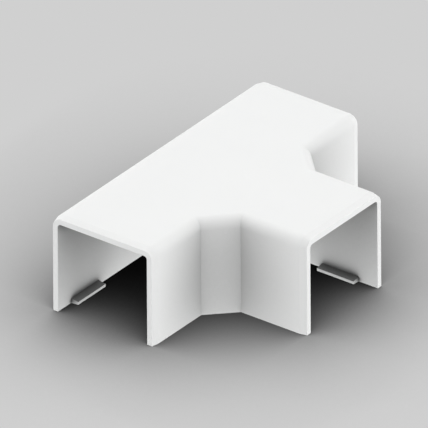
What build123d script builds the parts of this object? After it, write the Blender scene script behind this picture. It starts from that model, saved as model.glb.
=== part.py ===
"""Tee fitting for mini trunking: a white PVC cover, moulded in one piece, that closes the joint
where a branch of trunking leaves a straight run along a wall.

The origin lies on the wall, where the centre lines of run and branch cross. +Y follows the run,
+X points out along the branch and +Z points away from the wall. All sizes are in millimetres.
"""

import os

from build123d import *

# The trunking that slides into each mouth, and its play there
trunking_width = 24.0
trunking_height = 22.0
side_clearance = 0.2
top_clearance = 0.1

# The moulding
wall = 1.7
run_length = 75.0
branch_reach = 37.9
corner_leg = 6.2
outer_radius = 2.5
inner_radius = 0.8

# The taper round the outside of each mouth
rim_taper_length = 1.75
rim_taper_depth = 0.42

# The snap tabs at the foot of both side walls, near each mouth
run_tab_setback = 4.8
branch_tab_setback = 5.2
tab_length = 10.0
tab_reach = 1.9
tab_root_height = 1.15
tab_tip_height = 0.66
tab_underside_rise = 0.13

inside_width = trunking_width + 2 * side_clearance
inside_height = trunking_height + top_clearance
outside_width = inside_width + 2 * wall
outside_height = inside_height + wall
half_run = run_length / 2


def tee_plan(width, leg, run_end, branch_end):
    """Face of a tee in plan: two equal arms and a branch, with a 45 degree facet in each corner."""
    side = width / 2
    with BuildSketch() as plan:
        with BuildLine():
            Polyline(
                (-side, 0),
                (-side, run_end),
                (side, run_end),
                (side, side + leg),
                (side + leg, side),
                (branch_end, side),
                (branch_end, 0),
            )
            mirror(about=Plane.XZ)
        make_face()
    return plan.sketch


def tab_pair(setback):
    """Two snap tabs that face each other across an arm, with +Y pointing from its mouth inwards."""
    root = -inside_width / 2
    tip = root + tab_reach
    with BuildPart() as pair:
        with BuildSketch(Plane.XZ.offset(-setback)):
            with BuildLine():
                Polyline(
                    (root, 0),
                    (tip, tab_underside_rise),
                    (tip, tab_underside_rise + tab_tip_height),
                    (root, tab_root_height),
                    close=True,
                )
            make_face()
            mirror(about=Plane.YZ)
        extrude(amount=-tab_length)
    return pair.part


def find_mouths(part):
    """End faces of the two run arms and of the branch."""
    along_run = part.faces().filter_by(Axis.Y).sort_by(Axis.Y)
    return ShapeList([along_run[0], along_run[-1], part.faces().sort_by(Axis.X)[-1]])


# The hollow, open to the wall: the facets inside run parallel to those outside, one wall away
inside_corner_leg = corner_leg + wall * (2 - 2**0.5)
with BuildPart() as hollow:
    extrude(tee_plan(inside_width, inside_corner_leg, run_length, 2 * branch_reach), amount=inside_height)
    ceiling = hollow.faces().sort_by(Axis.Z)[-1]
    fillet(ceiling.edges() - find_mouths(hollow).edges(), radius=inner_radius)

with BuildPart() as tee_cover:
    extrude(tee_plan(outside_width, corner_leg, half_run, branch_reach), amount=outside_height)

    top = tee_cover.faces().sort_by(Axis.Z)[-1]
    fillet(top.edges() - find_mouths(tee_cover).edges(), radius=outer_radius)

    for mouth in find_mouths(tee_cover):
        foot = mouth.edges().sort_by(Axis.Z)[0]
        chamfer(
            mouth.edges() - [foot],
            length=rim_taper_depth,
            length2=rim_taper_length,
            reference=mouth,
        )

    add(hollow.part, mode=Mode.SUBTRACT)

    near_mouth = Location((0, -half_run, 0))
    far_mouth = Location((0, half_run, 0), (0, 0, 180))
    branch_mouth = Location((branch_reach, 0, 0), (0, 0, 90))
    with Locations(near_mouth, far_mouth):
        add(tab_pair(run_tab_setback))
    with Locations(branch_mouth):
        add(tab_pair(branch_tab_setback))

tee_cover.part.label = "tee_cover"

os.makedirs("parts", exist_ok=True)
export_step(tee_cover.part, "parts/tee_cover.step")
print("tee_cover", round(tee_cover.part.volume, 1), tee_cover.part.bounding_box())
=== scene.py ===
"""Gives the moulded tee cover its white plastic finish and sets it in a plain studio.

The cover stands as the model has it, with the foot of its walls on the floor at Z = 0. +Y follows
the run, +X points out along the branch and +Z points up. All lengths are in metres.
"""
import math

import bpy
from bpy.props import FloatProperty, FloatVectorProperty, PointerProperty
from bpy.types import Operator, Panel, PropertyGroup
from mathutils import Matrix, Vector

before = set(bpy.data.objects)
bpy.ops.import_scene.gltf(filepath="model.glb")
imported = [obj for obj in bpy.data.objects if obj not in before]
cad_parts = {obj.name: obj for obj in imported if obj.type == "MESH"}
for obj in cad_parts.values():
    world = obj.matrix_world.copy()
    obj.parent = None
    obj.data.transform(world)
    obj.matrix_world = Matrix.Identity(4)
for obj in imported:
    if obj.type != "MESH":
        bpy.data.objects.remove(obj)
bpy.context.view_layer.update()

bl_info = {
    "name": "Trunking tee cover",
    "version": (1, 0, 0),
    "blender": (4, 5, 0),
    "location": "View3D > Sidebar > Tee cover",
    "description": "Finishes a moulded trunking tee cover and sets it in a plain studio",
    "category": "Object",
}

MM = 0.001
COVER_NODE = "tee_cover"

# Black is the dark end of the painted shade on the cover and of the painted shadow on the floor.
BLACK = (0, 0, 0, 1)
WHITE = (1, 1, 1, 1)
PVC_IOR = 1.53

# The clouds' mean, and how many finer octaves each kind of them has.
CLOUD_MEAN = 0.5
FLOW_DETAIL = 3
GRAIN_DETAIL = 2
WAVE_DETAIL = 1

# Rays per point that find how open it is.
COVER_SAMPLES = 16
FLOOR_SAMPLES = 32

# The Mix node names its sockets alike for every kind of data, so its colour ones go by number.
MIX_COLOUR_A = 6
MIX_COLOUR_B = 7
MIX_COLOUR_RESULT = 2

LAMPS = ("top_lamp", "branch_lamp", "back_lamp")
LAMP_PLACE = ("azimuth", "elevation", "breadth")

# The camera's distance from what it aims at, in view widths, and the depths that it shows.
CAMERA_DISTANCE = 5
CAMERA_NEAR = 0.01
CAMERA_FAR = 20.0


class Wire:
    """One output of a shader node. Arithmetic on wires adds the Math nodes that work it out."""

    def __init__(self, graph, socket):
        self.graph = graph
        self.socket = socket

    def _math(self, operation, first, second):
        return self.graph.add("ShaderNodeMath", {"operation": operation}, {0: first, 1: second})

    def __add__(self, other):
        return self._math("ADD", self, other)

    def __radd__(self, other):
        return self._math("ADD", other, self)

    def __sub__(self, other):
        return self._math("SUBTRACT", self, other)

    def __rsub__(self, other):
        return self._math("SUBTRACT", other, self)

    def __mul__(self, other):
        return self._math("MULTIPLY", self, other)

    def __rmul__(self, other):
        return self._math("MULTIPLY", other, self)

    def __pow__(self, other):
        return self._math("POWER", self, other)

    def __rpow__(self, other):
        return self._math("POWER", other, self)


class Graph:
    """The empty node tree of one material or world, and the one way to add nodes to it."""

    def __init__(self, owner):
        owner.use_nodes = True
        self.tree = owner.node_tree
        self.tree.nodes.clear()

    def add(self, kind, settings=None, inputs=None, output=0):
        """Adds a node with its settings first and its inputs after, and returns one output."""
        node = self.tree.nodes.new(kind)
        for name, value in (settings or {}).items():
            setattr(node, name, value)
        for name, value in (inputs or {}).items():
            if isinstance(value, Wire):
                self.tree.links.new(value.socket, node.inputs[name])
            else:
                node.inputs[name].default_value = value
        return Wire(self, node.outputs[output]) if len(node.outputs) else node


class TeeCoverFinish(PropertyGroup):
    """What a user would change on the moulded plastic."""

    colour: FloatVectorProperty(
        name="Colour",
        description="Colour of the plastic",
        subtype="COLOR",
        size=3,
        min=0,
        max=1,
        default=(0.908, 0.914, 0.91),
    )
    flow_colour: FloatVectorProperty(
        name="Flow colour",
        description="Colour of the faint clouds that the melt leaves as it fills the mould",
        subtype="COLOR",
        size=3,
        min=0,
        max=1,
        default=(0.888, 0.894, 0.889),
    )
    flow_size: FloatProperty(
        name="Flow size",
        description="Size of the clouds in the tint and in the gloss",
        unit="LENGTH",
        default=9 * MM,
    )
    # Painted shade: the plastic's colour is darker where the cover's own walls shut it in.
    painted_shade_reach: FloatProperty(
        name="Painted shade reach",
        description="How far off a wall still darkens the plastic that it shuts in",
        unit="LENGTH",
        default=25 * MM,
    )
    painted_shade_depth: FloatProperty(
        name="Painted shade depth",
        description="Power of the openness by which shut-in plastic is darker",
        default=1.6,
    )
    # A second painted shade, darker still in the crevices, as where a snap tab meets its wall.
    crevice_shade_reach: FloatProperty(
        name="Crevice shade reach",
        description="How far off a wall still makes a crevice with the plastic beside it",
        unit="LENGTH",
        default=6 * MM,
    )
    crevice_shade_onset: FloatProperty(
        name="Crevice shade onset",
        description="Openness below which a corner counts as a crevice, as no bevelled one does",
        subtype="FACTOR",
        min=0,
        max=1,
        default=0.85,
    )
    crevice_shade_depth: FloatProperty(
        name="Crevice shade depth",
        description="Power of the openness, as a share of the onset, by which a crevice is darker",
        default=2.0,
    )
    gloss: FloatProperty(
        name="Gloss",
        description="Share of the plastic's full mirror strength, where 0.5 is a polished skin",
        subtype="FACTOR",
        min=0,
        max=1,
        default=0.25,
    )
    roughness: FloatProperty(
        name="Roughness",
        description="Roughness of the moulded skin",
        subtype="FACTOR",
        min=0,
        max=1,
        default=0.52,
    )
    roughness_spread: FloatProperty(
        name="Roughness spread",
        description="Difference in roughness between the dullest and the glossiest cloud",
        subtype="FACTOR",
        min=0,
        max=1,
        default=0.12,
    )
    grain_size: FloatProperty(
        name="Grain size",
        description="Size of the fine grain that the mould leaves",
        unit="LENGTH",
        precision=5,
        default=0.35 * MM,
    )
    grain_height: FloatProperty(
        name="Grain height",
        description="Height of the fine grain",
        unit="LENGTH",
        precision=6,
        default=0.004 * MM,
    )
    wave_size: FloatProperty(
        name="Wave size",
        description="Size of the broad waves in the moulded walls",
        unit="LENGTH",
        default=14 * MM,
    )
    wave_height: FloatProperty(
        name="Wave height",
        description="Height of the broad waves in the moulded walls",
        unit="LENGTH",
        precision=5,
        default=0.03 * MM,
    )


class TeeCoverStudio(PropertyGroup):
    """What a user would change on the floor, the light and the camera."""

    floor_colour: FloatVectorProperty(
        name="Floor colour",
        description="Colour of the floor and of the background",
        subtype="COLOR",
        size=3,
        min=0,
        max=1,
        default=(0.631, 0.631, 0.631),
    )
    floor_size: FloatProperty(
        name="Floor size",
        description="Side of the square floor",
        unit="LENGTH",
        default=4.0,
    )
    # Painted shadow: the floor's seen colour is darker near the cover.
    floor_painted_shadow_reach: FloatProperty(
        name="Floor painted shadow reach",
        description="How far off the cover still darkens the floor",
        unit="LENGTH",
        default=55 * MM,
    )
    floor_painted_shadow_depth: FloatProperty(
        name="Floor painted shadow depth",
        description="Power of the openness by which the floor is darker near the cover",
        default=2.2,
    )
    floor_glow: FloatProperty(
        name="Floor glow",
        description="Strength of the light that the floor sends up to the cover",
        default=0.95,
    )
    dome_strength: FloatProperty(
        name="Dome",
        description="Strength of the even light from all round",
        default=0.02,
    )
    top_lamp: FloatProperty(
        name="Top lamp",
        description="Strength of the broad lamp overhead",
        default=0.1,
    )
    top_lamp_azimuth: FloatProperty(
        name="Top lamp azimuth",
        description="Turn of the top lamp about the vertical, from the near mouth to the branch",
        subtype="ANGLE",
        default=0,
    )
    top_lamp_elevation: FloatProperty(
        name="Top lamp elevation",
        description="Height of the top lamp above the horizon",
        subtype="ANGLE",
        default=math.radians(90),
    )
    top_lamp_breadth: FloatProperty(
        name="Top lamp breadth",
        description="Angle that the top lamp takes up in the sky",
        subtype="ANGLE",
        default=math.radians(120),
    )
    branch_lamp: FloatProperty(
        name="Branch lamp",
        description="Strength of the broad lamp on the branch's side",
        default=0.98,
    )
    branch_lamp_azimuth: FloatProperty(
        name="Branch lamp azimuth",
        description="Turn of the branch lamp about the vertical, from the near mouth to the branch",
        subtype="ANGLE",
        default=math.radians(120),
    )
    branch_lamp_elevation: FloatProperty(
        name="Branch lamp elevation",
        description="Height of the branch lamp above the horizon",
        subtype="ANGLE",
        default=0,
    )
    branch_lamp_breadth: FloatProperty(
        name="Branch lamp breadth",
        description="Angle that the branch lamp takes up in the sky",
        subtype="ANGLE",
        default=math.radians(95),
    )
    back_lamp: FloatProperty(
        name="Back lamp",
        description="Strength of the broad lamp behind the back wall",
        default=0.85,
    )
    back_lamp_azimuth: FloatProperty(
        name="Back lamp azimuth",
        description="Turn of the back lamp about the vertical, from the near mouth to the branch",
        subtype="ANGLE",
        default=math.radians(-74),
    )
    back_lamp_elevation: FloatProperty(
        name="Back lamp elevation",
        description="Height of the back lamp above the horizon",
        subtype="ANGLE",
        default=math.radians(51),
    )
    back_lamp_breadth: FloatProperty(
        name="Back lamp breadth",
        description="Angle that the back lamp takes up in the sky",
        subtype="ANGLE",
        default=math.radians(120),
    )
    camera_azimuth: FloatProperty(
        name="Camera azimuth",
        description="Turn of the camera about the vertical, from the near mouth to the branch",
        subtype="ANGLE",
        default=math.radians(37.077),
    )
    camera_elevation: FloatProperty(
        name="Camera elevation",
        description="Height of the camera above the horizon",
        subtype="ANGLE",
        default=math.radians(29.873),
    )
    camera_roll: FloatProperty(
        name="Camera roll",
        description="Turn of the camera about its own line of sight",
        subtype="ANGLE",
        default=math.radians(0.321),
    )
    camera_aim: FloatVectorProperty(
        name="Camera aim",
        description="Shift of the picture's centre from the origin, rightwards and upwards",
        subtype="TRANSLATION",
        unit="LENGTH",
        size=2,
        default=(1.824 * MM, 9.925 * MM),
    )
    view_width: FloatProperty(
        name="View width",
        description="Width that the camera takes in",
        unit="LENGTH",
        default=93.6 * MM,
    )


def blend(graph, share, low, high):
    """A colour that goes from low to high as the share goes from 0 to 1."""
    return graph.add(
        "ShaderNodeMix",
        {"data_type": "RGBA"},
        {"Factor": share, MIX_COLOUR_A: low, MIX_COLOUR_B: high},
        output=MIX_COLOUR_RESULT,
    )


def clouds(graph, size, detail):
    """Soft solid noise from 0 to 1, about 0.5 on the whole, with lumps of the given size."""
    place = graph.add("ShaderNodeTexCoord", output="Object")
    return graph.add(
        "ShaderNodeTexNoise",
        inputs={"Vector": place, "Scale": 1 / size, "Detail": detail},
    )


def openness(graph, reach, samples, own_form_only):
    """Share of the view from each point, from 0 to 1, that meets nothing nearer than the reach."""
    return graph.add(
        "ShaderNodeAmbientOcclusion",
        {"samples": samples, "only_local": own_form_only},
        {"Distance": reach},
        output="AO",
    )


def moulded_plastic(finish):
    """White satin PVC, a little uneven in tint, gloss and level.

    Its relief is a fine grain from the mould over broad shallow waves, both in millimetres. Its
    colour carries painted shade: it is darker by a power of its openness where the cover's own
    walls shut it in, and by a second painted shade in the crevices, as where a snap tab meets its
    wall.
    """
    material = bpy.data.materials.new("moulded_white_pvc")
    graph = Graph(material)
    grain = clouds(graph, finish.grain_size, GRAIN_DETAIL) - CLOUD_MEAN
    waves = clouds(graph, finish.wave_size, WAVE_DETAIL) - CLOUD_MEAN
    height = grain * (finish.grain_height / MM) + waves * (finish.wave_height / MM)
    relief = graph.add(
        "ShaderNodeBump",
        inputs={"Height": height, "Distance": MM, "Strength": 1.0},
    )
    flow = clouds(graph, finish.flow_size, FLOW_DETAIL)
    plain = blend(graph, flow, (*finish.flow_colour, 1), (*finish.colour, 1))
    hollow = openness(graph, finish.painted_shade_reach, COVER_SAMPLES, own_form_only=True)
    near = openness(graph, finish.crevice_shade_reach, COVER_SAMPLES, own_form_only=True)
    crevice_shade = graph.add(
        "ShaderNodeMapRange",
        inputs={"Value": near, "From Max": finish.crevice_shade_onset},
    )
    # Painted shade: the plastic's colour goes towards black where it is shut in and in crevices.
    painted_shade = hollow**finish.painted_shade_depth * crevice_shade**finish.crevice_shade_depth
    shader = graph.add(
        "ShaderNodeBsdfPrincipled",
        inputs={
            "Base Color": blend(graph, painted_shade, BLACK, plain),
            "Roughness": finish.roughness + (flow - CLOUD_MEAN) * finish.roughness_spread,
            "IOR": PVC_IOR,
            "Specular IOR Level": finish.gloss,
            "Normal": relief,
        },
    )
    graph.add("ShaderNodeOutputMaterial", inputs={"Surface": shader})
    return material


def is_seen(graph):
    """One where a ray shows the studio, straight or in a gloss, and zero where it only lights."""
    camera, glossy, transmission = (
        graph.add("ShaderNodeLightPath", output=f"Is {kind} Ray")
        for kind in ("Camera", "Glossy", "Transmission")
    )
    return camera + glossy + transmission


def floor_finish(studio):
    """The floor's look and its light.

    What is seen of it, straight or mirrored in the plastic, is its colour times a power of how open
    each point is to its surroundings: a painted shadow of the cover. The light that it sends to the
    cover is even.
    """
    material = bpy.data.materials.new("studio_floor")
    graph = Graph(material)
    near = openness(graph, studio.floor_painted_shadow_reach, FLOOR_SAMPLES, own_form_only=False)
    # Painted shadow: the floor's colour goes towards black near the cover.
    colour = blend(graph, near**studio.floor_painted_shadow_depth, BLACK, (*studio.floor_colour, 1))
    seen = graph.add("ShaderNodeEmission", inputs={"Color": colour, "Strength": 1.0})
    glow = graph.add("ShaderNodeEmission", inputs={"Color": WHITE, "Strength": studio.floor_glow})
    surface = graph.add("ShaderNodeMixShader", inputs={0: is_seen(graph), 1: glow, 2: seen})
    graph.add("ShaderNodeOutputMaterial", inputs={"Surface": surface})
    return material


def studio_floor(studio):
    """A plain square floor, level with the foot of the cover's walls."""
    half = studio.floor_size / 2
    corners = [(-half, -half, 0), (half, -half, 0), (half, half, 0), (-half, half, 0)]
    mesh = bpy.data.meshes.new("studio_floor")
    mesh.from_pydata(corners, [], [(0, 1, 2, 3)])
    mesh.materials.append(floor_finish(studio))
    floor = bpy.data.objects.new("studio_floor", mesh)
    bpy.context.scene.collection.objects.link(floor)


def studio_dome(studio):
    """Even white light from all round. Seen straight or in a gloss, it has the floor's colour."""
    world = bpy.data.worlds.new("studio_dome")
    bpy.context.scene.world = world
    graph = Graph(world)
    light = graph.add(
        "ShaderNodeBackground",
        inputs={"Color": WHITE, "Strength": studio.dome_strength},
    )
    seen = graph.add(
        "ShaderNodeBackground",
        inputs={"Color": (*studio.floor_colour, 1), "Strength": 1.0},
    )
    surface = graph.add("ShaderNodeMixShader", inputs={0: is_seen(graph), 1: light, 2: seen})
    graph.add("ShaderNodeOutputWorld", inputs={"Surface": surface})


def direction(azimuth, elevation):
    """The unit vector to an azimuth, from -Y towards +X, and a height above the horizon."""
    level = math.cos(elevation)
    return Vector((math.sin(azimuth) * level, -math.cos(azimuth) * level, math.sin(elevation)))


def broad_lamp(name, strength, azimuth, elevation, breadth):
    """A distant soft lamp. At strength 1 it lights a white wall that faces it to full white."""
    lamp = bpy.data.lights.new(name, "SUN")
    lamp.energy = strength * math.pi
    lamp.angle = breadth
    holder = bpy.data.objects.new(name, lamp)
    holder.rotation_mode = "QUATERNION"
    holder.rotation_quaternion = direction(azimuth, elevation).to_track_quat("Z", "Y")
    bpy.context.scene.collection.objects.link(holder)


def studio_camera(studio):
    """A camera with parallel lines of sight, at the photograph's angle."""
    azimuth = studio.camera_azimuth
    back = direction(azimuth, studio.camera_elevation)
    across = Vector((math.cos(azimuth), math.sin(azimuth), 0))
    upright = back.cross(across)
    roll = studio.camera_roll
    right = math.cos(roll) * across - math.sin(roll) * upright
    up = math.sin(roll) * across + math.cos(roll) * upright
    shift_right, shift_up = studio.camera_aim
    aim = right * shift_right + up * shift_up
    place = Matrix.Translation(aim + back * (CAMERA_DISTANCE * studio.view_width))
    turn = Matrix((right, up, back)).transposed().to_4x4()
    lens = bpy.data.cameras.new("studio_camera")
    lens.type = "ORTHO"
    lens.ortho_scale = studio.view_width
    lens.clip_start = CAMERA_NEAR
    lens.clip_end = CAMERA_FAR
    camera = bpy.data.objects.new("studio_camera", lens)
    bpy.context.scene.collection.objects.link(camera)
    camera.matrix_world = place @ turn
    bpy.context.scene.camera = camera


class TEECOVER_OT_finish_cover(Operator):
    """Give the moulded cover its white plastic"""

    bl_idname = "tee_cover.finish_cover"
    bl_label = "Finish the cover"

    def execute(self, context):
        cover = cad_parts[COVER_NODE]
        material = moulded_plastic(context.scene.tee_cover_finish)
        for slot in cover.material_slots:
            slot.material = material
        return {"FINISHED"}


class TEECOVER_OT_build_studio(Operator):
    """Lay the floor, hang the lamps and place the camera"""

    bl_idname = "tee_cover.build_studio"
    bl_label = "Build the studio"

    def execute(self, context):
        studio = context.scene.tee_cover_studio
        studio_floor(studio)
        studio_dome(studio)
        for name in LAMPS:
            place = [getattr(studio, f"{name}_{part}") for part in LAMP_PLACE]
            broad_lamp(name, getattr(studio, name), *place)
        studio_camera(studio)
        context.scene.view_settings.view_transform = "Standard"
        return {"FINISHED"}


class TEECOVER_PT_sidebar(Panel):
    """Tee cover's settings and steps in the sidebar"""

    bl_idname = "TEECOVER_PT_sidebar"
    bl_label = "Tee cover"
    bl_space_type = "VIEW_3D"
    bl_region_type = "UI"
    bl_category = "Tee cover"

    def draw(self, context):
        layout = self.layout
        for group, operator in (
            (context.scene.tee_cover_finish, TEECOVER_OT_finish_cover),
            (context.scene.tee_cover_studio, TEECOVER_OT_build_studio),
        ):
            column = layout.column()
            for name in group.bl_rna.properties.keys():
                if name not in {"rna_type", "name"}:
                    column.prop(group, name)
            column.operator(operator.bl_idname)


CLASSES = (
    TeeCoverFinish,
    TeeCoverStudio,
    TEECOVER_OT_finish_cover,
    TEECOVER_OT_build_studio,
    TEECOVER_PT_sidebar,
)


def register():
    for cls in CLASSES:
        bpy.utils.register_class(cls)
    bpy.types.Scene.tee_cover_finish = PointerProperty(type=TeeCoverFinish)
    bpy.types.Scene.tee_cover_studio = PointerProperty(type=TeeCoverStudio)


def unregister():
    del bpy.types.Scene.tee_cover_studio
    del bpy.types.Scene.tee_cover_finish
    for cls in reversed(CLASSES):
        bpy.utils.unregister_class(cls)


def main():
    register()
    bpy.ops.tee_cover.finish_cover()
    bpy.ops.tee_cover.build_studio()


if __name__ == "__main__":
    main()
